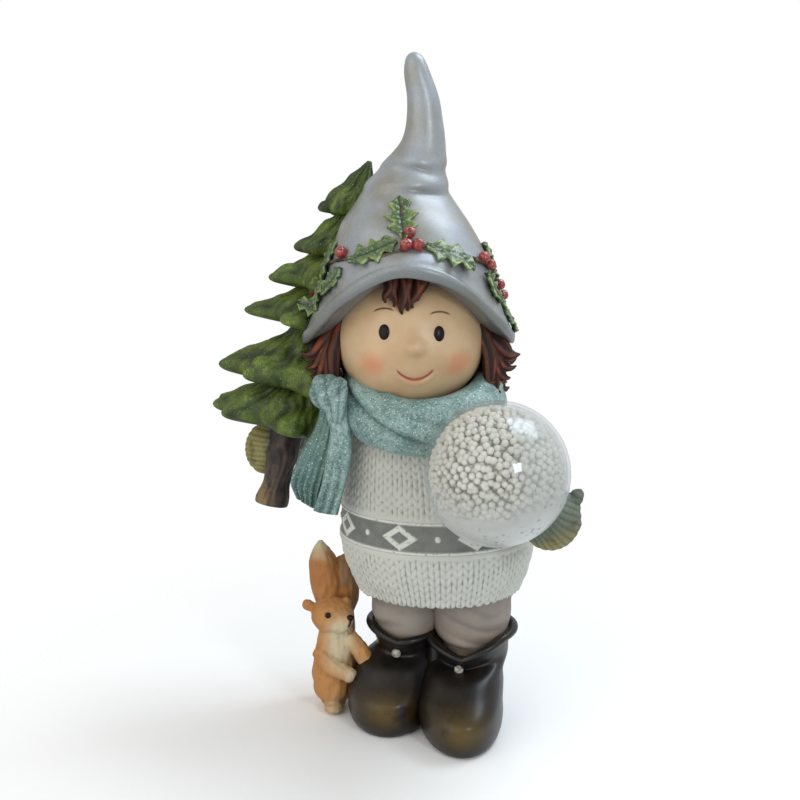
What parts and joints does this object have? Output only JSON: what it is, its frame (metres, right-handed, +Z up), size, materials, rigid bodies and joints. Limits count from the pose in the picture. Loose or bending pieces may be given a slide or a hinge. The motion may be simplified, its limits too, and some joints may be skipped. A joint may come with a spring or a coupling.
{
  "type": "christmas figurine",
  "caption": "Painted cast figurine of a child in a tall curled hat, carrying a fir tree and a clear globe of white beads, with a squirrel at its boot.",
  "frame": {"origin": "on the floor under the child's body, between the two boots", "axes": "+Z up, -Y to the child's front, +X to the child's left"},
  "size_m": [0.1932, 0.155, 0.3555],
  "materials": {
    "painted_resin": "cast resin, painted in many colours, satin with pearl and glitter zones",
    "clear_plastic": "clear, polished",
    "bead_foam": "white foam beads"
  },
  "bodies": {
    "root": {"figure": "painted_resin", "globe_shell": "clear_plastic", "globe_beads": "bead_foam"}
  },
  "joints": []
}
